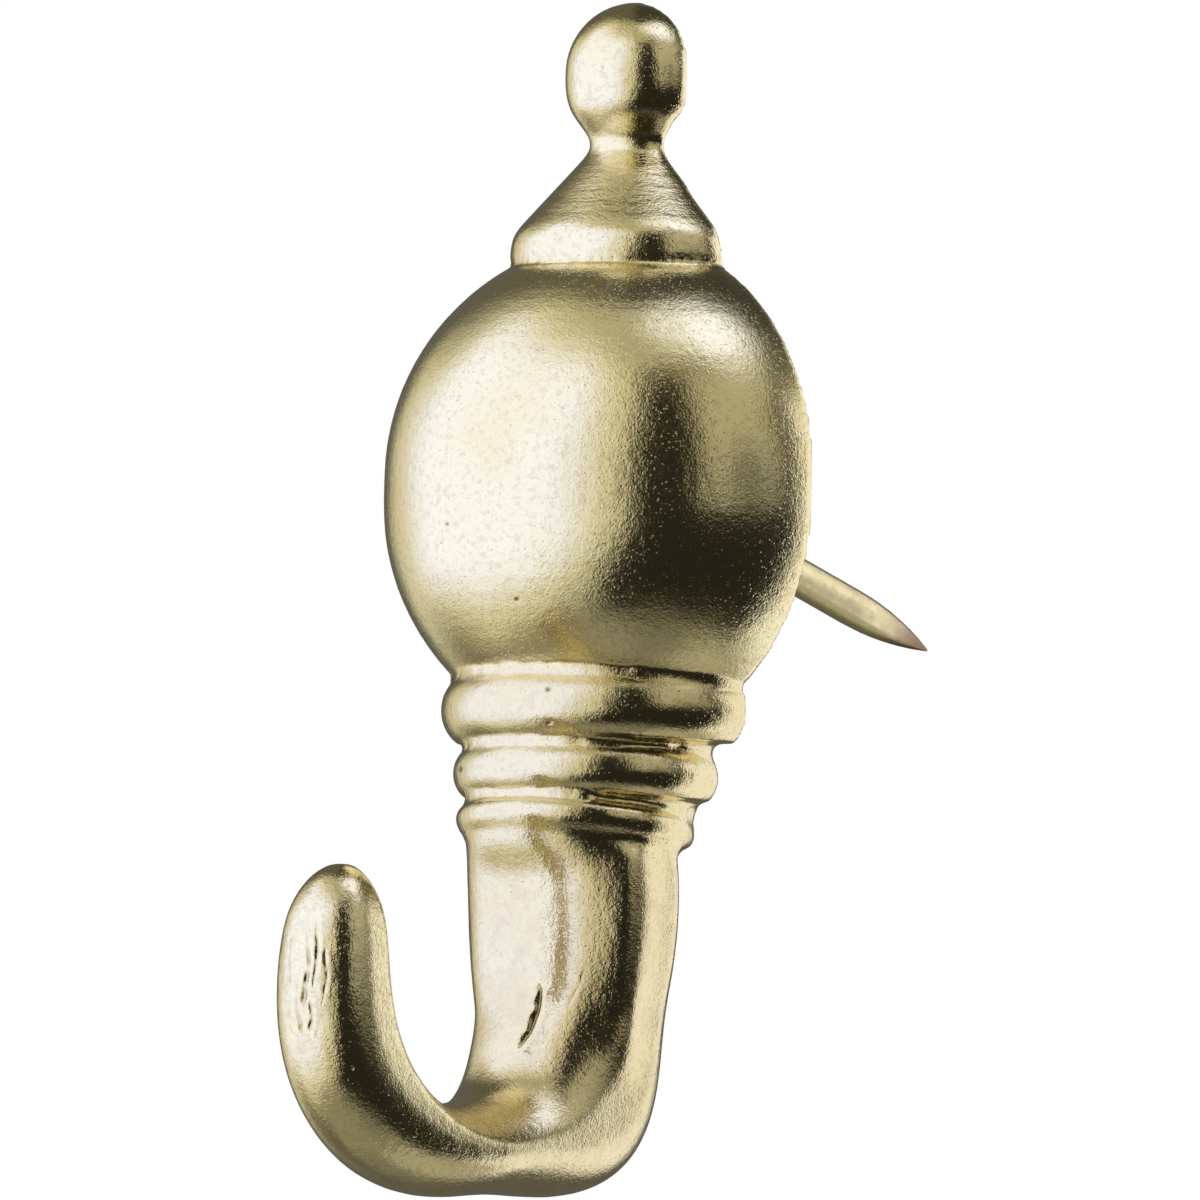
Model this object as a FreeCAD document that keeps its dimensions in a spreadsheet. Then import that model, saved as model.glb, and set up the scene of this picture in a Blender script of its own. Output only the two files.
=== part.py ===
import FreeCAD, Part
import math
import os
import Sketcher
from FreeCAD import Vector

# Decorative push-in picture hook, millimetres and degrees.
# Origin: the point where the axis of the pin leaves the back of the ball.
# +Y points into the wall, -Y to the front, +Z up; the back of the hook lies in the plane y = 0.

SIZES = [
    # finial knob: two round ends joined by a short straight belt
    ("knob_radius", 2.24), ("knob_belt", 0.36),
    # neck and cone cap with its rounded lip
    ("neck_radius", 1.38), ("neck_length", 0.36), ("cone_rise", 2.62), ("cone_low_radius", 3.70),
    ("lip_thick", 1.14), ("lip_round", 1.08),
    # ball: two round zones joined by a short straight belt, cut off where cap and beads start
    ("ball_radius", 7.74), ("ball_belt_top", -0.05), ("ball_belt_low", -0.88),
    ("ball_top_radius", 3.78), ("ball_low_radius", 5.17),
    # beads and collar: crest, rounding and thickness, place below the ball's lower rim and on the bow
    ("bead_one_radius", 5.26), ("bead_one_round", 1.33), ("bead_one_thick", 2.10),
    ("bead_one_drop", 0.87), ("bead_one_forward", 0.82), ("bead_one_lean", 0.0),
    ("bead_two_radius", 4.36), ("bead_two_round", 0.98), ("bead_two_thick", 1.60),
    ("bead_two_drop", 2.97), ("bead_two_forward", 1.58), ("bead_two_lean", 1.5),
    ("collar_radius", 3.86), ("collar_round", 0.56), ("collar_thick", 0.90),
    ("collar_drop", 4.65), ("collar_forward", 2.20), ("collar_lean", 5.5),
    # neck inside the beads, the floor of their grooves, which bows forward from the ball to the stem
    ("core_top_radius", 4.55), ("core_low_radius", 3.40), ("core_rise", 0.44), ("core_drop", 4.56),
    ("core_top_forward", 0.50), ("core_low_forward", 2.00),
    # line of the hook: depth of the stem, places below the ball's lower rim, radius of the bend
    ("stem_depth", 2.64), ("root_drop", 2.66), ("top_drop", 4.76), ("mid_drop", 7.26),
    ("bend_drop", 9.76), ("bend_radius", 5.37),
    # section at each station along the hook: half width, crown, side land and outer bulge
    ("root_half_width", 2.60), ("root_crown", 1.60), ("root_land", 0.60), ("root_bulge", 1.00),
    ("top_half_width", 3.32), ("top_crown", 3.50), ("top_land", 1.25), ("top_bulge", 1.65),
    ("mid_half_width", 3.50), ("mid_crown", 2.80), ("mid_land", 1.38), ("mid_bulge", 1.93),
    ("low_half_width", 3.20), ("low_crown", 2.72), ("low_land", 1.30), ("low_bulge", 1.90),
    ("heel_half_width", 2.90), ("heel_crown", 2.54), ("heel_land", 1.62), ("heel_bulge", 2.00),
    ("corner_half_width", 2.80), ("corner_crown", 2.10), ("corner_land", 1.64), ("corner_bulge", 1.94),
    ("sole_half_width", 2.70), ("sole_crown", 1.66), ("sole_land", 0.66), ("sole_bulge", 1.30),
    ("base_half_width", 2.60), ("base_crown", 1.42), ("base_land", 0.48), ("base_bulge", 1.14),
    ("rise_half_width", 2.20), ("rise_crown", 0.98), ("rise_land", 0.74), ("rise_bulge", 1.50),
    ("toe_half_width", 1.90), ("toe_crown", 0.92), ("toe_land", 0.86), ("toe_bulge", 1.82),
    ("arm_half_width", 1.76), ("arm_crown", 0.90), ("arm_land", 0.89), ("arm_bulge", 1.56),
    # rounded end of the hook
    ("tip_height", 3.32), ("tip_depth", 13.70),
    # pin: slant below level, free shank, pointed end and thicker root held in the casting
    ("pin_slant", 16.80), ("pin_radius", 0.60), ("pin_reach", 15.62), ("point_length", 4.00),
    ("point_end_radius", 0.04), ("point_round", 14.60), ("shank_root_radius", 0.80),
    ("shank_root_length", 3.00), ("shank_clearance", 0.0),
    # round spot face, square to the pin, where the pin leaves the back
    ("spot_radius", 1.60), ("spot_depth", 0.60),
    # block that trims everything behind the wall plane
    ("trim_width", 40.0), ("trim_depth", 20.0), ("trim_height", 80.0),
]

doc = FreeCAD.newDocument("picture_hook")
sheet = doc.addObject("Spreadsheet::Sheet", "Sizes")
for row, (alias, number) in enumerate(SIZES, start=1):
    sheet.set("A%d" % row, alias)
    sheet.set("B%d" % row, str(number))
    sheet.setAlias("B%d" % row, alias)
doc.recompute()


def size(alias):
    return float(sheet.get(alias))


def number(terms):
    """Value of a sum of sizes, each term a name or a (factor, name) pair."""
    total = 0.0
    for term in terms:
        factor, alias = term if isinstance(term, tuple) else (1.0, term)
        total += factor * size(alias)
    return total


def formula(terms):
    """The same sum as an expression on the sheet."""
    parts = []
    for term in terms:
        factor, alias = term if isinstance(term, tuple) else (1.0, term)
        parts.append("(%r) * Sizes.%s" % (factor, alias))
    return " + ".join(parts)


def arc_through(first, last, radius, side):
    """Circle arc between two points; side +1 keeps the centre left of the way from first to last."""
    chord = last - first
    middle = first + chord * 0.5
    reach = math.sqrt(max(radius ** 2 - (chord.Length / 2) ** 2, 0.0))
    left = Vector(-chord.y, chord.x, 0).normalize()
    centre = middle + left * (reach * side)
    start, end = (first, last) if side > 0 else (last, first)
    angles = [math.atan2(p.y - centre.y, p.x - centre.x) for p in (start, end)]
    if angles[1] < angles[0]:
        angles[1] += 2 * math.pi
    return Part.ArcOfCircle(Part.Circle(centre, Vector(0, 0, 1), radius), angles[0], angles[1])


def bind(sketch, kind, where, terms):
    """Dimension from the sketch origin or on a curve, tied to the sheet."""
    index = sketch.addConstraint(Sketcher.Constraint(kind, *where, number(terms)))
    sketch.setExpression("Constraints[%d]" % index, formula(terms))


def outline(sketch, corners, arcs):
    """Closed outline through corners given as sums of sizes, or as a number where other ties set them.

    arcs maps a segment to (radius terms, side) or to (neighbour segment, start radius, side) for an
    arc that runs smoothly into that neighbour; no radius terms leaves the radius free as well.
    Returns the handles of the corners.
    """
    points = [Vector(*[c if isinstance(c, float) else number(c) for c in xy], 0) for xy in corners]
    count = len(points)
    ends = []
    for i, first in enumerate(points):
        last = points[(i + 1) % count]
        if i not in arcs:
            sketch.addGeometry(Part.LineSegment(first, last), False)
            ends.append((1, 2))
            continue
        side = arcs[i][-1]
        radius = number(arcs[i][0]) if len(arcs[i]) == 2 else arcs[i][1]
        sketch.addGeometry(arc_through(first, last, radius, side), False)
        ends.append((1, 2) if side > 0 else (2, 1))
    smooth = {}
    for i, arc in arcs.items():
        if len(arc) == 3 and arc[0] is not None:
            joint = i if arc[0] == (i + 1) % count else arc[0]
            smooth[joint] = True
    for i in range(count):
        j = (i + 1) % count
        kind = "Tangent" if i in smooth else "Coincident"
        sketch.addConstraint(Sketcher.Constraint(kind, i, ends[i][1], j, ends[j][0]))
    for i, (x, y) in enumerate(corners):
        for terms, kind, axis in ((x, "DistanceX", -2), (y, "DistanceY", -1)):
            if isinstance(terms, float):
                continue
            if terms:
                bind(sketch, kind, (-1, 1, i, ends[i][0]), terms)
            else:
                sketch.addConstraint(Sketcher.Constraint("PointOnObject", i, ends[i][0], axis))
    for i, arc in arcs.items():
        if len(arc) == 2:
            bind(sketch, "Radius", (i,), arc[0])
    return [(i, ends[i][0]) for i in range(count)]


def plane_of(body, role):
    return [f for f in body.Origin.OriginFeatures if f.Role == role][0]


def new_sketch(body, name):
    """Sketch on the body's own upright plane: x is the radius, y the height."""
    sketch = body.newObject("Sketcher::SketchObject", name)
    sketch.AttachmentSupport = [(plane_of(body, "XZ_Plane"), "")]
    sketch.MapMode = "FlatFace"
    return sketch


def turn(body, sketch, name):
    """Solid turned about the upright axis of the sketch."""
    solid = body.newObject("PartDesign::Revolution", name)
    solid.Profile = sketch
    solid.ReferenceAxis = (sketch, ["V_Axis"])
    solid.Angle = 360
    doc.recompute()
    return solid


def place(thing, forward, height, lean="0"):
    """Put a piece on the middle plane, forward of the wall, leaning so that its front is higher."""
    thing.setExpression(
        "Placement",
        "create(<<placement>>; create(<<vector>>; 0; -(%s); %s); "
        "create(<<rotation>>; create(<<vector>>; 1; 0; 0); -(%s)))" % (forward, height, lean),
    )


# Upper turning: knob, cone cap and ball on one upright axis that lies in the wall plane.
def rim(radius, edge):
    """Height of a round zone's edge above or below its middle."""
    return math.sqrt(size(radius) ** 2 - size(edge) ** 2)


upper = doc.addObject("PartDesign::Body", "upper_turning")
upper_sketch = new_sketch(upper, "upper_outline")
ball_top = size("ball_belt_top") + rim("ball_radius", "ball_top_radius")
cone_low = ball_top + size("lip_thick")
neck_low = cone_low + size("cone_rise")
neck_top = neck_low + size("neck_length")
knob_low = neck_top + rim("knob_radius", "neck_radius")
knob_top = knob_low + size("knob_belt")
ball_low = size("ball_belt_low") - rim("ball_radius", "ball_low_radius")
handles = outline(
    upper_sketch,
    [
        ([], knob_top + size("knob_radius")),
        (["knob_radius"], knob_top),
        (["knob_radius"], knob_low),
        (["neck_radius"], neck_top),
        (["neck_radius"], neck_low),
        (["cone_low_radius"], cone_low),
        (["ball_top_radius"], ball_top),
        (["ball_radius"], ["ball_belt_top"]),
        (["ball_radius"], ["ball_belt_low"]),
        (["ball_low_radius"], ball_low),
        ([], ball_low),
    ],
    {
        0: (1, size("knob_radius"), -1),
        2: (1, size("knob_radius"), -1),
        5: (["lip_round"], -1),
        6: (7, size("ball_radius"), -1),
        8: (7, size("ball_radius"), -1),
    },
)
for arc in (0, 2, 6, 8):
    upper_sketch.addConstraint(Sketcher.Constraint("PointOnObject", arc, 3, -2))
upper_sketch.addConstraint(Sketcher.Constraint("Horizontal", 9))
for low, high, rise in ((2, 1, "knob_belt"), (4, 3, "neck_length"), (5, 4, "cone_rise"), (6, 5, "lip_thick")):
    bind(upper_sketch, "DistanceY", handles[low] + handles[high], [rise])
turn(upper, upper_sketch, "upper_revolve")

# Everything below hangs from the lower rim of the ball.
BALL_LOW = "(Sizes.ball_belt_low - sqrt(Sizes.ball_radius^2 - Sizes.ball_low_radius^2))"


def below(drop):
    return "%s - Sizes.%s" % (BALL_LOW, drop)


def bead(name):
    """Ring with a round rim, turned about its own leaning axis."""
    body = doc.addObject("PartDesign::Body", name)
    sketch = new_sketch(body, name + "_outline")
    half = [(0.5, name + "_thick")]
    middle = [name + "_radius", (-1.0, name + "_round")]
    edge = number(middle) + math.sqrt(size(name + "_round") ** 2 - number(half) ** 2)
    outline(
        sketch,
        [([], half), (edge, half), (edge, [(-0.5, name + "_thick")]), ([], [(-0.5, name + "_thick")])],
        {1: ([name + "_round"], -1)},
    )
    sketch.addConstraint(Sketcher.Constraint("PointOnObject", 1, 3, -1))
    bind(sketch, "DistanceX", (-1, 1, 1, 3), middle)
    turn(body, sketch, name + "_revolve")
    place(body, "Sizes.%s_forward" % name, below(name + "_drop"), "Sizes.%s_lean" % name)
    return body


rings = [bead(name) for name in ("bead_one", "bead_two", "collar")]

# Leaning cone inside the rings, which joins the ball to the stem along the forward bow.
CORE_FALL = "(Sizes.core_rise + Sizes.core_drop)"
CORE_BOW = "(Sizes.core_low_forward - Sizes.core_top_forward)"
core = doc.addObject("Part::Cone", "core")
core.setExpression("Radius1", "Sizes.core_low_radius")
core.setExpression("Radius2", "Sizes.core_top_radius")
core.setExpression("Height", "sqrt(%s^2 + %s^2)" % (CORE_FALL, CORE_BOW))
place(core, "Sizes.core_low_forward", below("core_drop"), "atan(%s / %s)" % (CORE_BOW, CORE_FALL))


def station(name, forward, height, angle, prefix, factor=1.0):
    """Section of the hook: rounded crown, two flat side lands and a rounded outer face.

    The section stands square to the line of the hook; the upper edges of its lands follow that line.
    """
    sketch = doc.addObject("Sketcher::SketchObject", name)
    half, crown = prefix + "_half_width", prefix + "_crown"
    land, bulge = prefix + "_land", prefix + "_bulge"
    rounds = {}
    for segment, rise in ((1, bulge), (3, crown)):
        rounds[segment] = (None, factor * (size(half) ** 2 + size(rise) ** 2) / (2 * size(rise)), 1)
    outline(
        sketch,
        [
            ([(-factor, half)], []),
            ([(-factor, half)], [(-factor, land)]),
            ([(factor, half)], [(-factor, land)]),
            ([(factor, half)], []),
        ],
        rounds,
    )
    for segment, rise in ((1, bulge), (3, crown)):
        index = sketch.addConstraint(Sketcher.Constraint("Radius", segment, rounds[segment][1]))
        sketch.setExpression(
            "Constraints[%d]" % index,
            "%r * (Sizes.%s^2 + Sizes.%s^2) / (2 * Sizes.%s)" % (factor, half, rise, rise),
        )
    place(sketch, forward, height, "(%s) - 180" % angle)
    return sketch


stations = [
    station(prefix + "_section", "Sizes.stem_depth", below(prefix + "_drop"), "0", prefix)
    for prefix in ("root", "top", "mid")
]
# Round the bend: five stations a quarter of a right angle apart, then three a third of one apart.
for step, prefix in enumerate(("low", "heel", "corner", "sole", "base", "rise", "toe", "arm")):
    degrees = 22.5 * step if step < 5 else 90.0 + 30.0 * (step - 4)
    stations.append(
        station(
            prefix + "_section",
            "Sizes.stem_depth + Sizes.bend_radius * (1 - cos(%s deg))" % degrees,
            "%s - Sizes.bend_radius * sin(%s deg)" % (below("bend_drop"), degrees),
            "%s" % degrees,
            prefix,
        )
    )
# The end closes like half an oval: each section shrinks with its height above the arm.
ARM_DEPTH = "(Sizes.stem_depth + 2 * Sizes.bend_radius)"
for step, share in enumerate((0.50, 0.80, 0.95, 0.99), start=1):
    shrink = round(math.sqrt(1 - share ** 2), 4)
    stations.append(
        station(
            "tip_section_%d" % step,
            "Sizes.tip_depth - (Sizes.tip_depth - %s) * %r" % (ARM_DEPTH, shrink),
            "%s + Sizes.tip_height * %r" % (below("bend_drop"), share),
            "180",
            "arm",
            shrink,
        )
    )
hook = doc.addObject("Part::Loft", "hook_bar")
hook.Sections = stations
hook.Solid = True
hook.Ruled = False
doc.recompute()

# One casting: turning, rings and hook grown together, cut flat where the back meets the wall.
grown = doc.addObject("Part::MultiFuse", "grown_together")
grown.Shapes = [upper, core] + rings + [hook]
trim = doc.addObject("Part::Box", "behind_wall")
trim.setExpression("Length", "Sizes.trim_width")
trim.setExpression("Width", "Sizes.trim_depth")
trim.setExpression("Height", "Sizes.trim_height")
trim.setExpression("Placement.Base.x", "-Sizes.trim_width / 2")
trim.setExpression("Placement.Base.z", "-Sizes.trim_height / 2")
flat = doc.addObject("Part::Cut", "flat_back")
flat.Base = grown
flat.Tool = trim
doc.recompute()

# Seat of the pin: a spot face square to the slanted pin and the bore that grips its root.
PIN_TURN = "create(<<rotation>>; create(<<vector>>; 1; 0; 0); -90 - Sizes.pin_slant)"


def along_pin(thing, start):
    """Lay a piece along the pin's axis, its base the given way out from the origin."""
    thing.setExpression(
        "Placement",
        "create(<<placement>>; create(<<vector>>; 0; (%s) * cos(Sizes.pin_slant * 1 deg); "
        "-(%s) * sin(Sizes.pin_slant * 1 deg)); %s)" % (start, start, PIN_TURN),
    )


spot = doc.addObject("Part::Cylinder", "spot_face")
spot.setExpression("Radius", "Sizes.spot_radius")
spot.setExpression("Height", "Sizes.spot_depth + Sizes.spot_radius")
along_pin(spot, "-Sizes.spot_depth")
bore = doc.addObject("Part::Cylinder", "root_bore")
bore.setExpression("Radius", "Sizes.shank_root_radius + Sizes.shank_clearance")
bore.setExpression("Height", "Sizes.shank_root_length + Sizes.spot_depth")
along_pin(bore, "-Sizes.spot_depth - Sizes.shank_root_length")
seat = doc.addObject("Part::Fuse", "pin_seat")
seat.Base = spot
seat.Tool = bore
body = doc.addObject("Part::Cut", "hook_body")
body.Base = flat
body.Tool = seat
doc.recompute()

# Pin: thicker root, plain shank and a long rounded point, turned about its own axis.
pin = doc.addObject("PartDesign::Body", "wall_pin")
pin_sketch = new_sketch(pin, "pin_outline")
outline(
    pin_sketch,
    [
        ([], [(-1.0, "spot_depth"), (-1.0, "shank_root_length")]),
        (["shank_root_radius"], [(-1.0, "spot_depth"), (-1.0, "shank_root_length")]),
        (["shank_root_radius"], [(-1.0, "spot_depth")]),
        (["pin_radius"], [(-1.0, "spot_depth")]),
        (["pin_radius"], ["pin_reach", (-1.0, "point_length")]),
        (["point_end_radius"], ["pin_reach"]),
        ([], ["pin_reach"]),
    ],
    {4: (["point_round"], 1)},
)
turn(pin, pin_sketch, "pin_revolve")
along_pin(pin, "0")
doc.recompute()

NODES = {"hook_body": body, "wall_pin": pin}
for thing in doc.Objects:
    if "Invalid" in thing.State or "Error" in thing.State:
        raise SystemExit("not built: " + thing.Name)
for label, thing in NODES.items():
    shape = thing.Shape
    if shape.isNull() or not shape.isValid() or len(shape.Solids) != 1:
        raise SystemExit("bad solid: " + label)
os.makedirs("parts", exist_ok=True)
for label, thing in NODES.items():
    thing.Label = label
    thing.Shape.exportStep("parts/" + label + ".step")
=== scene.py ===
import math
from collections import namedtuple

import bmesh
import bpy
import numpy as np
from mathutils import Matrix, Vector, noise
from mathutils.bvhtree import BVHTree

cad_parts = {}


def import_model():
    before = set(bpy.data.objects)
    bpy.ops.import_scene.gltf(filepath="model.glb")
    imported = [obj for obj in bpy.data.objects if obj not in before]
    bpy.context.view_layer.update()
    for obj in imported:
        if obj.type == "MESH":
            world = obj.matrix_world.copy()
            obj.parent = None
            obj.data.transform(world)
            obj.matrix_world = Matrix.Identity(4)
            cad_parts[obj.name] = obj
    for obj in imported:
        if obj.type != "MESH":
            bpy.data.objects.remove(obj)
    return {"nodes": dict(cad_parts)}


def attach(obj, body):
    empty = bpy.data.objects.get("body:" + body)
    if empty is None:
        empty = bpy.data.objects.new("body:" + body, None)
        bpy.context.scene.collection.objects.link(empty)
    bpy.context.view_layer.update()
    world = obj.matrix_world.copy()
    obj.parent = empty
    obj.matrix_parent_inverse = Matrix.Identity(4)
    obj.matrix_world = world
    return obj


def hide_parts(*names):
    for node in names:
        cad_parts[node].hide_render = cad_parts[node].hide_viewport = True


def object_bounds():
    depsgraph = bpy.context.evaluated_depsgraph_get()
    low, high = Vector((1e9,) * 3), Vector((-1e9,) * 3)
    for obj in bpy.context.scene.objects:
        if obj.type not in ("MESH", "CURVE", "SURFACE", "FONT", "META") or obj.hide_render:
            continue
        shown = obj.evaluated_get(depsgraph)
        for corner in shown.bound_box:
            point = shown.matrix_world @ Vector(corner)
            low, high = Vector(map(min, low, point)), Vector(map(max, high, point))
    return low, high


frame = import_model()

CAD_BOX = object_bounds()
MM = 0.001

# View of the photograph: the camera stands to the right of the front and a little below level,
# and the picture is turned a little clockwise. Lengths in metres, angles in degrees.
VIEW_SIDE = 40.0
VIEW_RISE = -3.7
VIEW_ROLL = 1.16
PIXEL = 0.0318e-3
PICTURE = 1200
CENTRE_RIGHT = -0.879e-3
CENTRE_UP = -3.839e-3
CAMERA_AWAY = 0.28


def view_axes():
    """Right, up and back axes of the camera."""
    side, rise, roll = (math.radians(a) for a in (VIEW_SIDE, VIEW_RISE, VIEW_ROLL))
    right = Vector((math.cos(side), math.sin(side), 0))
    up = Vector((-math.sin(side) * math.sin(rise), math.cos(side) * math.sin(rise), math.cos(rise)))
    turned_right = right * math.cos(roll) + up * math.sin(roll)
    turned_up = up * math.cos(roll) - right * math.sin(roll)
    return turned_right, turned_up, right.cross(up)


RIGHT, UP, BACK = view_axes()


# Helpers for numbers and pieces

def smooth_step(low, high, value):
    """Share that goes smoothly from 0 at the low value to 1 at the high one."""
    share = np.clip((value - low) / (high - low), 0.0, 1.0)
    return share * share * (3.0 - 2.0 * share)


def band(value, start, full, fall, end):
    """Share that rises from the start to full and is gone again at the end."""
    return smooth_step(start, full, value) * (1 - smooth_step(fall, end, value))


def window(value, low, high, soft):
    """Share between two values, with edges of equal softness."""
    return band(value, low - soft, low + soft, high - soft, high + soft)


def linked(name, data):
    """New object in the scene."""
    piece = bpy.data.objects.new(name, data)
    bpy.context.scene.collection.objects.link(piece)
    return piece


def primitive(name, make, **sizes):
    """Mesh of one of Blender's basic forms."""
    mesh = bpy.data.meshes.new(name)
    work = bmesh.new()
    make(work, **sizes)
    work.to_mesh(mesh)
    work.free()
    return mesh


def corners_of(mesh):
    points = np.empty(len(mesh.vertices) * 3)
    mesh.vertices.foreach_get("co", points)
    return points.reshape(-1, 3)


def normals_of(mesh, points):
    """Moves the mesh to the points and gives the normals there."""
    mesh.vertices.foreach_set("co", points.ravel())
    mesh.update()
    normals = np.empty(len(points) * 3)
    mesh.vertex_normals.foreach_get("vector", normals)
    return normals.reshape(-1, 3)


class Net:
    """Neighbours of the points of a mesh, for smoothing values over it."""

    RELAX = 0.50
    REGROW = 0.52

    def __init__(self, mesh):
        edges = np.empty(len(mesh.edges) * 2, dtype=np.int64)
        mesh.edges.foreach_get("vertices", edges)
        self.edges = edges.reshape(-1, 2)
        self.count = np.bincount(edges, minlength=len(mesh.vertices)).astype(float)

    def pull(self, values):
        """Way from each point to the mean of its neighbours."""
        first, second = self.edges.T
        total = np.zeros_like(values)
        for k in range(values.shape[1]):
            total[:, k] = np.bincount(first, values[second, k], len(values))
            total[:, k] += np.bincount(second, values[first, k], len(values))
        return total / self.count[:, None] - values

    def relax(self, values, rounds):
        for _ in range(rounds):
            values = values + self.pull(values) * self.RELAX
        return values

    def even_out(self, values, rounds):
        """Smoothing that takes steps out and keeps the size."""
        for _ in range(rounds):
            values = values + self.pull(values) * self.RELAX
            values = values - self.pull(values) * self.REGROW
        return values

    def reach(self, points):
        """Mean length of the edges at each point."""
        length = np.linalg.norm(points[self.edges[:, 0]] - points[self.edges[:, 1]], axis=1)
        return np.bincount(self.edges.ravel(), np.repeat(length, 2), len(points)) / self.count


# Casting: the CAD solid with softened edges, uneven skin and the flaws of this one. Lengths in millimetres.

VOXEL = 0.15
WELD = 0.002
SNAP_REACH = 0.5
SOFT_ROUNDS = 2
SOFTER_ROUNDS = 18
RIM_ROUNDS = 14
SUNK_ROUNDS = 2
HOLLOW_ROUNDS = 4
BEND_UNIT = 0.12
DEEP_BEND = 0.06
SHORTEST_EDGE = 0.02

# Heights over which a zone fades in and out
CAP = (6.7, 7.3, 11.2, 11.8)
BEADS = (-14.2, -13.4, -6.6, -6.0)
COLLAR = (-12.9, -12.4, -11.4, -10.9)
FLAT_STEM = (-18.6, -16.2, -13.2, -11.7)
STEM_CORNERS = (-20.2, -17.8, -12.5, -11.6)
PLAIN_STEM = (-18.6, -16.2, -12.5, -11.6)
UNDER_BEND = (-22.0, -19.5)
LAND_TOP = (-12.4, -11.8)
COLLAR_SHARE = 0.6

# Places along Y, which is 0 at the wall and falls towards the front
RIM_DEPTH = (-0.45, -0.12)
STEM_FRONT = (-7.4, -6.3)
STEM_AXIS = -1.85
ARM_BACK = -9.0
FLAT_BACK = -0.01
NEAR_WALL = (-0.10, -0.04)

# The back is left as it is this close to the middle of the pin
PIN_ZONE = 2.0

# How far a normal has to point down, sideways or to the wall
FACING_DOWN = (-0.1, 0.4)
FACING_SIDE = (0.80, 0.95)
FACING_WALL = (0.90, 0.98)

# Stem: how far its front moves back, and its fuller corners, each with a height and a spread in degrees
FLAT_DEPTH = 0.48
FLAT_SPREAD = 1.64
CORNER_ANGLE = 66
RIGHT_CORNER = (0.28, 13)
LEFT_CORNER = (0.10, 10)

# Uneven skin: size of the waves, their seed and, for the skin, their height, which sets in off the wall
SKIN_WAVES = ((2.6, 1.0, 0.010), (0.9, 2.0, 0.005))
RAGGED_WAVES = (0.34, 4.0)
OFF_WALL = (0.05, 0.6)

# Flaws that the photograph shows: places and widths in its pixels, depths in millimetres, and the painted
# shade in each as a share
Slit = namedtuple("Slit", "path half_width depth stain")
Pinhole = namedtuple("Pinhole", "x y radius depth")
STEM_SLIT = Slit([(541, 984), (538, 1006), (531, 1027), (519, 1048)], 4.0, 0.130, 0.75)
STEM_SCRATCH = Slit([(586, 966), (577, 990), (565, 1012)], 2.0, 0.010, 0.10)
ARM_WRINKLES = [
    Slit([(306, 930), (309, 960), (304, 1000), (300, 1034)], 3.2, 0.060, 0.34),
    Slit([(297, 972), (295, 1000), (303, 1042)], 2.8, 0.056, 0.30),
    Slit([(316, 918), (318, 950), (313, 990)], 2.6, 0.044, 0.20),
    Slit([(310, 1000), (312, 1018), (308, 1040)], 2.4, 0.044, 0.32),
    Slit([(325, 946), (327, 976), (322, 1006)], 2.4, 0.032, 0.15),
    Slit([(290, 935), (288, 965), (290, 990)], 2.2, 0.032, 0.12),
]
SLITS = [STEM_SLIT, STEM_SCRATCH, *ARM_WRINKLES]
PINHOLES = [
    Pinhole(548, 689, 2.4, 0.04),
    Pinhole(549, 723, 2.4, 0.04),
    Pinhole(459, 769, 2.6, 0.05),
    Pinhole(517, 600, 2.0, 0.03),
    Pinhole(447, 524, 1.8, 0.02),
    Pinhole(352, 1068, 2.0, 0.03),
]
FACING_CAMERA = 0.05

# Finer mesh round the flaws, out to a multiple of their half width or radius
FINER_CUTS = 3
FINER_AT_SLIT = 5
FINER_AT_HOLE = 4

# Edge of a slit, in multiples of its half width: how far it reaches, and where its lip stands and how high
SLIT_REACH = 6
LIP_AWAY = 1.9
LIP_HEIGHT = 0.24


def voxel_copy(source):
    """Even quad mesh of a CAD node, and the node's surface to measure from, in millimetres."""
    mesh = bpy.data.meshes.new("casting_work")
    work = bmesh.new()
    work.from_mesh(source.data)
    bmesh.ops.scale(work, vec=(1 / MM, 1 / MM, 1 / MM), verts=work.verts)
    bmesh.ops.remove_doubles(work, verts=work.verts, dist=WELD)
    surface = BVHTree.FromBMesh(work)
    work.to_mesh(mesh)
    work.free()
    holder = linked("casting_work", mesh)
    remesh = holder.modifiers.new("even", "REMESH")
    remesh.mode = "VOXEL"
    remesh.voxel_size = VOXEL
    graph = bpy.context.evaluated_depsgraph_get()
    even = bpy.data.meshes.new_from_object(holder.evaluated_get(graph))
    bpy.data.objects.remove(holder)
    bpy.data.meshes.remove(mesh)
    return even, surface


def snapped(points, surface):
    """Points moved onto the surface of the CAD solid."""
    exact = points.copy()
    for i, point in enumerate(points):
        place, _, _, gap = surface.find_nearest(Vector(point))
        if place is not None and gap < SNAP_REACH:
            exact[i] = place
    return exact


def soften(mesh, exact):
    """Points with rounded edges, filled corners between the beads and an even rim at the back."""
    net = Net(mesh)
    soft = net.relax(exact, SOFT_ROUNDS)
    softer = net.relax(soft, SOFTER_ROUNDS)
    normals = normals_of(mesh, soft)
    height = soft[:, 2]
    bend = np.sum(net.pull(soft) * normals, axis=1) * BEND_UNIT / VOXEL ** 2
    sunk = net.relax(bend[:, None], SUNK_ROUNDS)[:, 0]
    corners = band(height, *BEADS) * smooth_step(0.0, DEEP_BEND, sunk)
    under = (1 - smooth_step(*UNDER_BEND, height)) * smooth_step(*FACING_DOWN, -normals[:, 2])
    share = np.max((band(height, *CAP), COLLAR_SHARE * band(height, *COLLAR), corners, under), axis=0)
    points = soft + (softer - soft) * share[:, None]
    rim = smooth_step(*RIM_DEPTH, exact[:, 1]) * (np.hypot(exact[:, 0], exact[:, 2]) > PIN_ZONE)
    points += (net.even_out(soft, RIM_ROUNDS) - soft) * rim[:, None]
    back = exact[:, 1] > FLAT_BACK
    points[back, 1] = np.minimum(points[back, 1], 0.0)
    return points


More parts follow.
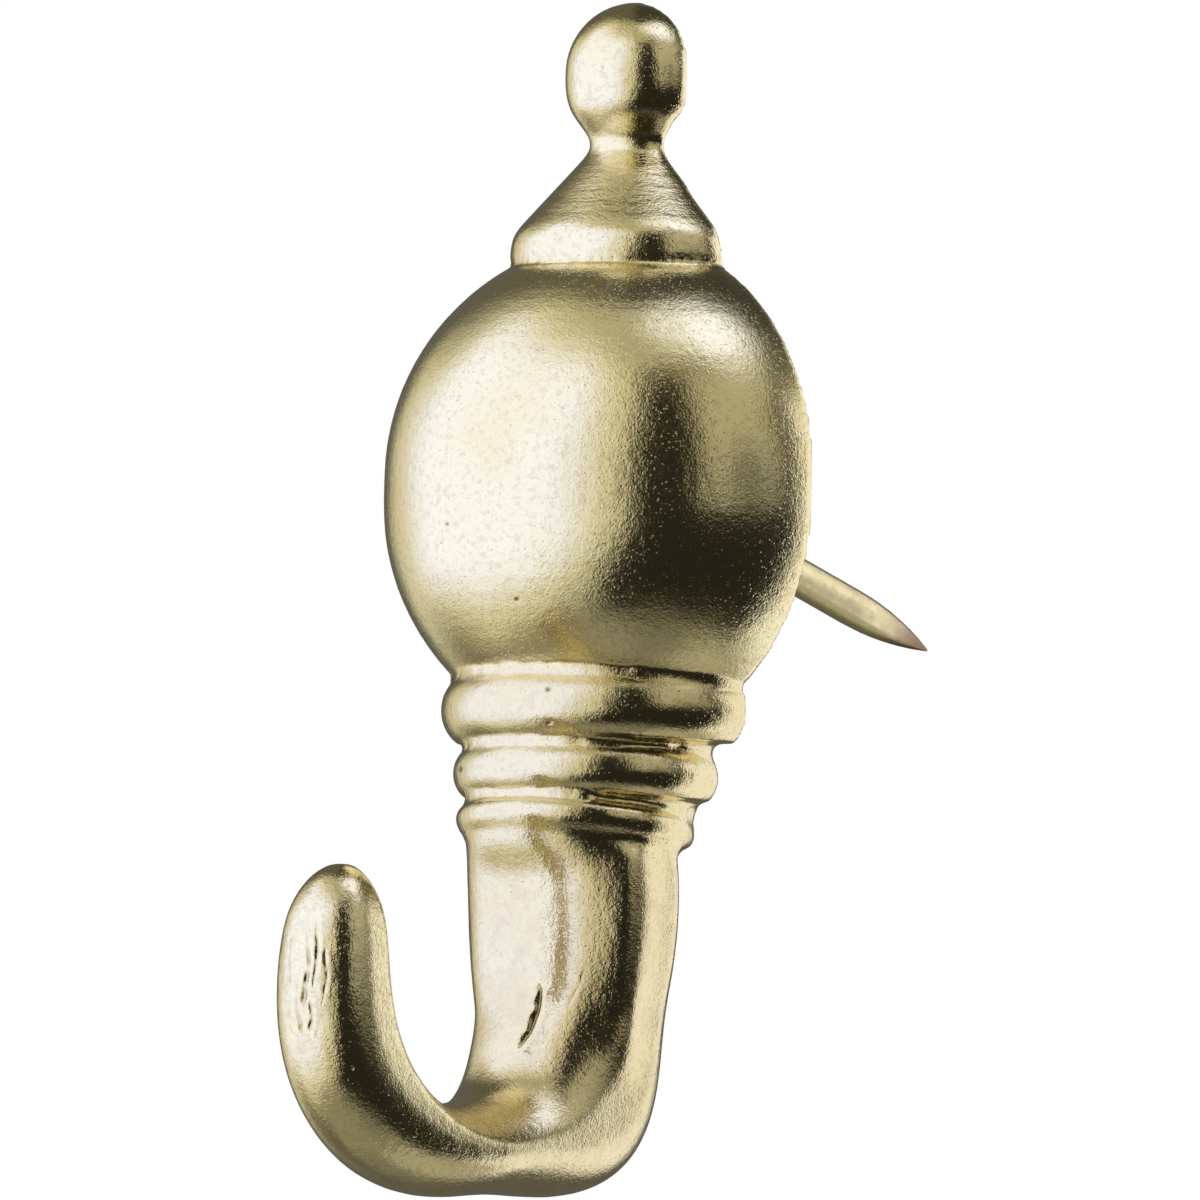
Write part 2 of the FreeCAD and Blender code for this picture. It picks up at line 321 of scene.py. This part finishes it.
def stem_share(points, heights):
    """Share of each point in the stem, 0 to 1."""
    return band(points[:, 2], *heights) * smooth_step(*STEM_FRONT, points[:, 1])


def shape_stem(mesh, points):
    """Makes the stem's front flatter than round, so that it turns more tightly at its sides."""
    round_by = np.degrees(np.arctan2(points[:, 0], STEM_AXIS - points[:, 1]))
    front = np.cos(np.radians(np.clip(np.abs(round_by) * FLAT_SPREAD, 0, 90))) ** 2
    points[:, 1] += FLAT_DEPTH * stem_share(points, FLAT_STEM) * front
    corner = np.zeros(len(points))
    for angle, (swell, spread) in ((CORNER_ANGLE, RIGHT_CORNER), (-CORNER_ANGLE, LEFT_CORNER)):
        corner += swell * np.exp(-((round_by - angle) / spread) ** 2)
    corner *= stem_share(points, STEM_CORNERS)
    points += normals_of(mesh, points) * corner[:, None]


def picture_place(points):
    """Place of points (millimetres) in the photograph, in its pixels."""
    metres = points * MM
    across = metres @ np.array(RIGHT) - CENTRE_RIGHT
    height = metres @ np.array(UP) - CENTRE_UP
    return PICTURE / 2 + across / PIXEL, PICTURE / 2 - height / PIXEL


def from_line(x, y, path):
    """Distance from a path in the picture and how far along it each point lies, 0 to 1."""
    best = np.full(len(x), np.inf)
    along = np.zeros(len(x))
    pieces = len(path) - 1
    for k in range(pieces):
        (ax, ay), (bx, by) = path[k], path[k + 1]
        length = (bx - ax) ** 2 + (by - ay) ** 2
        share = np.clip(((x - ax) * (bx - ax) + (y - ay) * (by - ay)) / length, 0, 1)
        gap = np.hypot(x - ax - share * (bx - ax), y - ay - share * (by - ay))
        nearer = gap < best
        best[nearer] = gap[nearer]
        along[nearer] = ((k + share) / pieces)[nearer]
    return best, along


def refine(mesh, points):
    """Finer mesh round the flaws that the camera sees."""
    normals = normals_of(mesh, points)
    x, y = picture_place(points)
    close = np.zeros(len(points), dtype=bool)
    for slit in SLITS:
        close |= from_line(x, y, slit.path)[0] < FINER_AT_SLIT * slit.half_width
    for hole in PINHOLES:
        close |= np.hypot(x - hole.x, y - hole.y) < FINER_AT_HOLE * hole.radius
    close &= normals @ np.array(BACK) > 0.0
    work = bmesh.new()
    work.from_mesh(mesh)
    work.verts.ensure_lookup_table()
    chosen = [e for e in work.edges if close[e.verts[0].index] and close[e.verts[1].index]]
    bmesh.ops.subdivide_edges(work, edges=chosen, cuts=FINER_CUTS, use_grid_fill=True)
    bmesh.ops.triangulate(work, faces=[f for f in work.faces if len(f.verts) > 4])
    work.to_mesh(mesh)
    work.free()
    return corners_of(mesh)


def waves(points, size, seed):
    """Smooth unevenness of about one unit, with the given size in millimetres."""
    shift = Vector((seed * 3.7, seed * 1.9, seed * 5.3))
    return np.array([noise.noise(Vector(p) / size + shift) for p in points])


def hollows(mesh, points, normals):
    """Mask for the painted shade in grooves: how deeply each point is sunk. The flattened stem counts as
    plain.
    """
    net = Net(mesh)
    bend = np.sum(net.pull(points) * normals, axis=1)
    bend *= BEND_UNIT / np.maximum(net.reach(points), SHORTEST_EDGE) ** 2
    return net.relax(bend[:, None], HOLLOW_ROUNDS)[:, 0] * (1 - stem_share(points, PLAIN_STEM))


def flaws(points, normals):
    """Way out along the normals and share of painted shade in the cuts, for the slits and pinholes.

    A slit narrows to its ends, has ragged edges and a low lip. All but the stem's deep one are broken up.
    """
    x, y = picture_place(points)
    seen = normals @ np.array(BACK) > FACING_CAMERA
    ragged = waves(points, *RAGGED_WAVES)
    move = np.zeros(len(points))
    stain = np.zeros(len(points))
    for slit in SLITS:
        gap, along = from_line(x + ragged, y, slit.path)
        lens = np.sqrt(np.clip(1 - (2 * along - 1) ** 2, 0, 1))
        near = seen & (gap < SLIT_REACH * slit.half_width)
        broad = slit.half_width * (0.25 + 0.75 * lens) * np.clip(1 + 0.6 * ragged, 0.5, 1.5)
        cut = np.clip(1 - gap / broad, 0, 1) * lens
        if slit is STEM_SLIT:
            near &= points[:, 1] > ARM_BACK
        else:
            cut *= np.clip(0.7 + 1.4 * ragged, 0, 1.2)
        lip = np.exp(-((gap - LIP_AWAY * slit.half_width) / slit.half_width) ** 2) * lens
        move += near * slit.depth * (LIP_HEIGHT * lip - cut)
        # painted shade: darker brown as deep as the slit cuts
        stain = np.maximum(stain, near * smooth_step(0.0, 0.7, cut) * slit.stain)
    for hole in PINHOLES:
        cut = np.exp(-(np.hypot(x - hole.x, y - hole.y) / hole.radius) ** 2) * seen
        move -= hole.depth * cut
        # painted shade: darker brown as deep as the pinhole sinks
        stain = np.maximum(stain, cut)
    return move, stain


def cast_body():
    """The casting that stands for the CAD body."""
    mesh, surface = voxel_copy(frame["nodes"]["hook_body"])
    points = soften(mesh, snapped(corners_of(mesh), surface))
    shape_stem(mesh, points)
    points = refine(mesh, points)
    normals = normals_of(mesh, points)
    # how deeply each point is sunk, the mask of the painted shade, deeper gold, in the grooves
    groove_shade = hollows(mesh, points, normals)
    uneven = sum(waves(points, size, seed) * height for size, seed, height in SKIN_WAVES)
    uneven *= smooth_step(*OFF_WALL, -points[:, 1])
    # the flaws also give the mask of painted shade in the slits and pinholes
    move, stain = flaws(points, normals)
    points = points + normals * (uneven + move)[:, None]
    low, high = (np.array(corner) / MM for corner in CAD_BOX)
    points = np.clip(points, low, high)
    mesh.vertices.foreach_set("co", (points * MM).ravel())
    mesh.update()
    side_land = smooth_step(*FACING_SIDE, np.abs(normals[:, 0])) * (1 - smooth_step(*LAND_TOP, points[:, 2]))
    ground = smooth_step(*FACING_WALL, normals[:, 1]) * smooth_step(*NEAR_WALL, points[:, 1])
    for name, values in (("groove_shade", groove_shade), ("stain", stain), ("side_land", side_land), ("ground", ground)):
        layer = mesh.attributes.new(name, "FLOAT", "POINT")
        layer.data.foreach_set("value", values.astype(np.float32))
    mesh.polygons.foreach_set("use_smooth", np.ones(len(mesh.polygons), dtype=bool))
    mesh.name = "hook_casting"
    piece = linked("hook_casting", mesh)
    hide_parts("hook_body")
    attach(piece, "root")
    return piece


# Materials

class Nodes:
    """Short ways to add and join shader nodes."""

    def __init__(self, name):
        self.material = bpy.data.materials.new(name)
        self.material.use_nodes = True
        self.tree = self.material.node_tree
        self.tree.nodes.clear()
        self.out = self.add("ShaderNodeOutputMaterial")

    def add(self, kind, **settings):
        """New node. Settings that start with in_ go to its sockets."""
        node = self.tree.nodes.new(kind)
        for key, value in settings.items():
            if key.startswith("in_"):
                node.inputs[key[3:].replace("_", " ")].default_value = value
            else:
                setattr(node, key, value)
        return node

    def join(self, start, end):
        self.tree.links.new(start, end)

    def places(self):
        """Place on the piece, whole and split by axis."""
        where = self.add("ShaderNodeTexCoord").outputs["Object"]
        split = self.add("ShaderNodeSeparateXYZ")
        self.join(where, split.inputs["Vector"])
        return where, split.outputs

    def noise(self, where, scale, detail, rough):
        node = self.add("ShaderNodeTexNoise", in_Scale=scale, in_Detail=detail, in_Roughness=rough)
        self.join(where, node.inputs["Vector"])
        return node.outputs["Fac"]

    def cells(self, where, scale, channel):
        """Scattered cells: distance from each one's centre, and its random draw."""
        node = self.add("ShaderNodeTexVoronoi", in_Scale=scale, in_Randomness=1.0)
        self.join(where, node.inputs["Vector"])
        draw = self.add("ShaderNodeSeparateColor")
        self.join(node.outputs["Color"], draw.inputs["Color"])
        return node.outputs["Distance"], draw.outputs[channel]

    def ramp(self, value, low, high, first=0.0, last=1.0):
        node = self.add("ShaderNodeMapRange", interpolation_type="SMOOTHSTEP")
        for key, number in (("From Min", low), ("From Max", high), ("To Min", first), ("To Max", last)):
            node.inputs[key].default_value = number
        self.join(value, node.inputs["Value"])
        return node.outputs["Result"]

    def band(self, value, start, full, fall, end):
        return self.times(self.ramp(value, start, full), self.ramp(value, fall, end, 1.0, 0.0))

    def math(self, operation, *values):
        node = self.add("ShaderNodeMath", operation=operation)
        for socket, value in zip(node.inputs, values):
            if isinstance(value, (int, float)):
                socket.default_value = value
            else:
                self.join(value, socket)
        return node.outputs["Value"]

    def times(self, first, *others):
        product = first
        for value in others:
            product = self.math("MULTIPLY", product, value)
        return product

    def mix(self, share, first, second):
        node = self.add("ShaderNodeMix", data_type="RGBA")
        self.join(share, node.inputs["Factor"])
        for name, value in (("A", first), ("B", second)):
            socket = [s for s in node.inputs if s.name == name and s.type == "RGBA"][0]
            if isinstance(value, tuple):
                socket.default_value = (*value, 1.0)
            else:
                self.join(value, socket)
        return [s for s in node.outputs if s.type == "RGBA"][0]

    def stretch(self, where, scale, turn=(0.0, 0.0, 0.0)):
        node = self.add("ShaderNodeMapping", in_Scale=scale, in_Rotation=turn)
        self.join(where, node.inputs["Vector"])
        return node.outputs["Vector"]

    def attribute(self, name):
        return self.add("ShaderNodeAttribute", attribute_name=name).outputs["Fac"]

    def metal(self, colour, rough, relief, depth, strength):
        """Metal with a relief of the given depth, as the material's surface."""
        bump = self.add("ShaderNodeBump", in_Strength=strength, in_Distance=depth)
        self.join(relief, bump.inputs["Height"])
        shader = self.add("ShaderNodeBsdfPrincipled", in_Metallic=1.0)
        self.join(colour, shader.inputs["Base Color"])
        self.join(rough, shader.inputs["Roughness"])
        self.join(bump.outputs["Normal"], shader.inputs["Normal"])
        self.join(shader.outputs["BSDF"], self.out.inputs["Surface"])


PALE = (0.89, 0.80, 0.48)
WARM = (0.87, 0.75, 0.40)
GOLD = (0.80, 0.62, 0.26)
DULL = (0.70, 0.59, 0.34)
DARK = (0.22, 0.17, 0.09)
BROWN = (0.26, 0.18, 0.07)
COPPERY = (0.20, 0.11, 0.06)

# Zones of the casting's finish: ranges of height, and of Y for what lies behind the arm
HOOK_TOP = (-13.0 * MM, -11.5 * MM)
BEADS_TOP = (-6.6 * MM, -6.0 * MM)
BEHIND_ARM = (-10.0 * MM, -8.5 * MM)
CONE = (7.3 * MM, 8.2 * MM, 10.2 * MM, 10.6 * MM)
DRAWN_STEM = (-19.5 * MM, -17.0 * MM, -12.4 * MM, -11.8 * MM)
CASTING_RELIEF = 0.0045 * MM

PIN_SLOPE = 16.8
PIN_BARE = (11.4 * MM, 14.4 * MM)
PIN_RELIEF = 0.006 * MM


def plated_casting():
    """Pale brass plating over a die casting: fine grain, tiny pits, and painted shade: deeper gold in the
    grooves, darker in the pits, brown in the slits and pinholes.
    """
    n = Nodes("plated_casting")
    where, axis = n.places()
    hook = n.ramp(axis["Z"], *HOOK_TOP, 1.0, 0.0)
    side_land = n.attribute("side_land")
    ground = n.attribute("ground")
    cast = n.math("SUBTRACT", 1.0, ground)

    grain = n.noise(where, scale=12000.0, detail=2.0, rough=0.6)
    skin = n.noise(where, scale=4800.0, detail=3.0, rough=0.6)
    cloud = n.noise(where, scale=240.0, detail=3.0, rough=0.5)
    patches = n.ramp(n.noise(where, scale=1500.0, detail=4.0, rough=0.65), 0.42, 0.66)
    strokes = n.noise(n.stretch(where, (0.06, 1.0, 1.0)), scale=7000.0, detail=3.0, rough=0.6)
    around = n.noise(n.stretch(where, (1.0, 1.0, 4.5)), scale=1000.0, detail=3.0, rough=0.6)
    along = n.noise(n.stretch(where, (1.0, 1.0, 0.10)), scale=5200.0, detail=2.0, rough=0.5)

    # tiny pits in about a fifth of the cells, darkened as painted shade, and small raised grains that catch
    # the light
    gap, draw = n.cells(where, 4200.0, "Red")
    pits = n.times(n.ramp(draw, 0.78, 0.80), cast, n.ramp(gap, 0.06, 0.16, 1.0, 0.0))
    gap, draw = n.cells(where, 11500.0, "Green")
    pebbles = n.times(n.ramp(draw, 0.72, 0.76), n.ramp(gap, 0.08, 0.46, 1.0, 0.0))

    lower = n.times(n.ramp(axis["Z"], *BEADS_TOP, 1.0, 0.0), n.ramp(axis["Y"], *BEHIND_ARM))
    hook_dull = n.math("MULTIPLY_ADD", n.times(patches, hook), 0.34, n.times(lower, 0.36))
    colour = n.mix(n.ramp(cloud, 0.35, 0.70), PALE, WARM)
    for share, tone in (
        (n.times(n.ramp(skin, 0.50, 0.66), 0.55), DULL),
        (n.times(n.ramp(grain, 0.56, 0.70), 0.50), DULL),
        (hook_dull, DULL),
        (n.times(n.ramp(strokes, 0.45, 0.7), ground, 0.5), DULL),
        # painted shade: deeper gold in the grooves
        (n.times(n.ramp(n.attribute("groove_shade"), 0.02, 0.16), 0.8), GOLD),
        # painted shade: darker in the pits
        (n.times(pits, 0.5), DARK),
        # painted shade: brown in the slits and pinholes
        (n.attribute("stain"), BROWN),
    ):
        colour = n.mix(share, colour, tone)

    rough = n.math("ADD", n.ramp(skin, 0.3, 0.7, 0.10, 0.18), n.times(side_land, 0.08))

    relief = n.times(grain, n.math("MULTIPLY_ADD", side_land, 1.2, 1.8))
    for part in (
        n.times(skin, n.math("MULTIPLY_ADD", hook, 1.4, 2.0)),
        n.times(around, n.band(axis["Z"], *CONE), 4.5),
        n.times(along, n.band(axis["Z"], *DRAWN_STEM), 1.4),
        n.times(pits, -1.2),
        n.times(pebbles, cast, 1.1),
        n.times(strokes, ground, 2.4),
    ):
        relief = n.math("ADD", relief, part)
    n.metal(colour, rough, relief, CASTING_RELIEF, 1.0)
    return n.material


def plated_pin():
    """Plated steel pin, drawn lengthwise, with a dark coppery bare point."""
    n = Nodes("plated_pin")
    where, axis = n.places()
    lengthwise = n.stretch(where, (1.0, 0.12, 1.0), (math.radians(PIN_SLOPE), 0.0, 0.0))
    drawn = n.noise(lengthwise, scale=6000.0, detail=3.0, rough=0.6)
    spots = n.noise(where, scale=2400.0, detail=3.0, rough=0.6)
    colour = n.mix(n.ramp(drawn, 0.35, 0.7), PALE, WARM)
    colour = n.mix(n.times(n.ramp(spots, 0.58, 0.72), 0.5), colour, GOLD)
    colour = n.mix(n.times(n.ramp(axis["Y"], *PIN_BARE), 0.9), colour, COPPERY)
    n.metal(colour, n.ramp(spots, 0.3, 0.7, 0.22, 0.38), drawn, PIN_RELIEF, 0.8)
    return n.material


def give(piece, material):
    piece.data.materials.clear()
    piece.data.materials.append(material)


# Studio: pale floor, white background, soft surroundings with a dark stretch at the front right

FLOOR_HEIGHT = -0.046
FLOOR_RADIUS = 0.60
FLOOR_COLOUR = (0.86, 0.86, 0.85, 1.0)
DOME_RADIUS = 0.5
WARM_LIGHT = (1.04, 1.0, 0.84)
COOL_LIGHT = (0.94, 1.01, 1.50)
WHITE = (1.0, 1.0, 1.0, 1.0)
SOFT_LEVEL = 0.55
SEEN_LEVEL = 1.0


def floor():
    n = Nodes("floor_pale")
    shader = n.add("ShaderNodeBsdfPrincipled", in_Roughness=0.8, in_Base_Color=FLOOR_COLOUR)
    n.join(shader.outputs["BSDF"], n.out.inputs["Surface"])
    mesh = primitive("floor", bmesh.ops.create_circle, cap_ends=True, segments=64, radius=FLOOR_RADIUS)
    mesh.materials.append(n.material)
    piece = linked("floor", mesh)
    piece.location = (0, 0, FLOOR_HEIGHT)
    piece.visible_glossy = False


def away_from(side, rise, middle_side, middle_rise):
    """Angle between directions, in degrees."""
    turn, lift, middle = np.radians(side - middle_side), np.radians(rise), math.radians(middle_rise)
    near = np.sin(lift) * math.sin(middle) + np.cos(lift) * math.cos(middle) * np.cos(turn)
    return np.degrees(np.arccos(np.clip(near, -1, 1)))


def key_light(side, rise):
    """Broad light at the left, with an edge that leans: its share of each direction, and its brightness."""
    edge = -1 + 8 * smooth_step(0, 50, rise) - 18 * smooth_step(5, 45, -rise)
    key = window(side - edge, -150, 0, 4) * band(rise, -60, -40, 64, 82)
    fade = 1.17 * (1 - 0.46 * smooth_step(-44, 0, side - edge)) * (1 - 0.50 * smooth_step(44, 74, rise))
    fade *= 1 - 0.50 * smooth_step(18, 54, -rise)
    fade *= 1 - 0.60 * smooth_step(108, 142, -side) * smooth_step(14, 36, rise)
    fade *= 1 - 0.66 * smooth_step(88, 128, -side) * smooth_step(14, 34, -rise)
    fade *= 1 - 0.42 * smooth_step(110, 142, -side)
    return key, fade


def small_light(side, rise):
    """Small light at the upper right, with a fainter stretch towards the top."""
    middle = np.exp(-(away_from(side, rise, 87, 60) / 16) ** 4)
    stretch = np.exp(-(away_from(side, rise, 66, 72) / 11) ** 4)
    return np.maximum(middle, 0.7 * stretch)


def glow(side, rise):
    """Brightness of the surroundings by the direction, in degrees right of the camera and above level.

    The second value says how cool the light is.
    """
    key, fade = key_light(side, rise)
    small = small_light(side, rise)
    below = smooth_step(50, 60, -rise)
    above = smooth_step(48, 58, rise) * window(side, -120, 105, 12)
    behind = smooth_step(112, 124, side) * smooth_step(28, 40, rise)
    dusk = window(side, -60, 91, 3) * window(rise, -49, 50, 5)
    room = window(side, 36, 78 + 14 * smooth_step(24, 38, rise), 4) * window(rise, 1, 48, 5)
    stand = np.exp(-(((side - 60) / 9) ** 2 + ((rise - 6) / 10) ** 2)) * room
    wall = window(side, 91, 150, 3) * window(rise, -50, 26, 7)
    value = np.full(side.shape, 0.12)
    for share, light in (
        (below, 0.20),
        (below * window(side, -140, 0, 12), 0.28),
        (below * window(side, 60, 150, 12), 0.42),
        (behind, 0.05),
        (above, 0.47),
        (dusk, 0.02),
        (room, 0.47),
        (stand, 0.10),
        (wall, 1.05),
        (key, fade),
        (small, 1.30),
    ):
        value = value * (1 - share) + light * share
    cool = np.max((key * smooth_step(0.65, 1.10, fade), small, 0.35 * wall), axis=0)
    return value, cool


def surroundings():
    """Large soft dome that only the gloss of the metal sees: cool bright parts, warm dim parts."""
    steps = {"u_segments": 240, "v_segments": 120}
    mesh = primitive("surroundings", bmesh.ops.create_uvsphere, radius=DOME_RADIUS, **steps)
    points = corners_of(mesh)
    side = np.degrees(np.arctan2(points[:, 0], -points[:, 1]))
    rise = np.degrees(np.arcsin(np.clip(points[:, 2] / DOME_RADIUS, -1, 1)))
    value, cool = (row[:, None] for row in glow(side, rise))
    tint = np.array(WARM_LIGHT) * (1 - cool) + np.array(COOL_LIGHT) * cool
    colour = np.concatenate((value * tint, np.ones_like(value)), axis=1)
    layer = mesh.attributes.new("glow", "FLOAT_COLOR", "POINT")
    layer.data.foreach_set("color", colour.astype(np.float32).ravel())
    n = Nodes("surroundings")
    light = n.add("ShaderNodeEmission")
    n.join(n.add("ShaderNodeAttribute", attribute_name="glow").outputs["Color"], light.inputs["Color"])
    n.join(light.outputs["Emission"], n.out.inputs["Surface"])
    mesh.materials.append(n.material)
    piece = linked("surroundings", mesh)
    piece.matrix_world = Matrix((RIGHT, -BACK, UP)).transposed().to_4x4()
    piece.visible_camera = False
    piece.visible_diffuse = False
    piece.visible_shadow = False
    piece.visible_transmission = False


def world():
    """White for what the camera and the gloss see, a plain grey level for soft light."""
    scene_world = bpy.data.worlds.new("world")
    bpy.context.scene.world = scene_world
    scene_world.use_nodes = True
    tree = scene_world.node_tree
    tree.nodes.clear()
    path = tree.nodes.new("ShaderNodeLightPath")
    seen = path.outputs["Is Camera Ray"]
    for name in ("Is Glossy Ray", "Is Transmission Ray"):
        larger = tree.nodes.new("ShaderNodeMath")
        larger.operation = "MAXIMUM"
        tree.links.new(seen, larger.inputs[0])
        tree.links.new(path.outputs[name], larger.inputs[1])
        seen = larger.outputs["Value"]
    pick = tree.nodes.new("ShaderNodeMixShader")
    tree.links.new(seen, pick.inputs["Fac"])
    for socket, strength in ((pick.inputs[1], SOFT_LEVEL), (pick.inputs[2], SEEN_LEVEL)):
        level = tree.nodes.new("ShaderNodeBackground")
        level.inputs["Color"].default_value = WHITE
        level.inputs["Strength"].default_value = strength
        tree.links.new(level.outputs["Background"], socket)
    out = tree.nodes.new("ShaderNodeOutputWorld")
    tree.links.new(pick.outputs["Shader"], out.inputs["Surface"])


def lamp(name, side, rise, away, size, power):
    """Square soft lamp, placed in degrees right of the camera and above level, aimed at the object."""
    data = bpy.data.lights.new(name, "AREA")
    data.shape = "SQUARE"
    data.size = size
    data.energy = power
    turn = math.radians(VIEW_SIDE + side)
    lift = math.radians(rise)
    way = Vector((math.sin(turn) * math.cos(lift), -math.cos(turn) * math.cos(lift), math.sin(lift)))
    piece = linked(name, data)
    piece.location = way * away
    piece.rotation_euler = way.to_track_quat("Z", "Y").to_euler()
    piece.visible_glossy = False


def camera():
    data = bpy.data.cameras.new("camera")
    data.type = "ORTHO"
    data.ortho_scale = PIXEL * PICTURE
    data.clip_start = 0.01
    data.clip_end = 5.0
    piece = linked("camera", data)
    middle = RIGHT * CENTRE_RIGHT + UP * CENTRE_UP
    turn = Matrix((RIGHT, UP, BACK)).transposed().to_4x4()
    piece.matrix_world = Matrix.Translation(middle + BACK * CAMERA_AWAY) @ turn
    bpy.context.scene.camera = piece


give(cast_body(), plated_casting())
give(frame["nodes"]["wall_pin"], plated_pin())
floor()
surroundings()
world()
lamp("key_left", side=-60, rise=35, away=0.40, size=0.25, power=3.0)
lamp("fill_right", side=100, rise=40, away=0.45, size=0.30, power=1.5)
camera()
bpy.context.scene.view_settings.view_transform = "Standard"
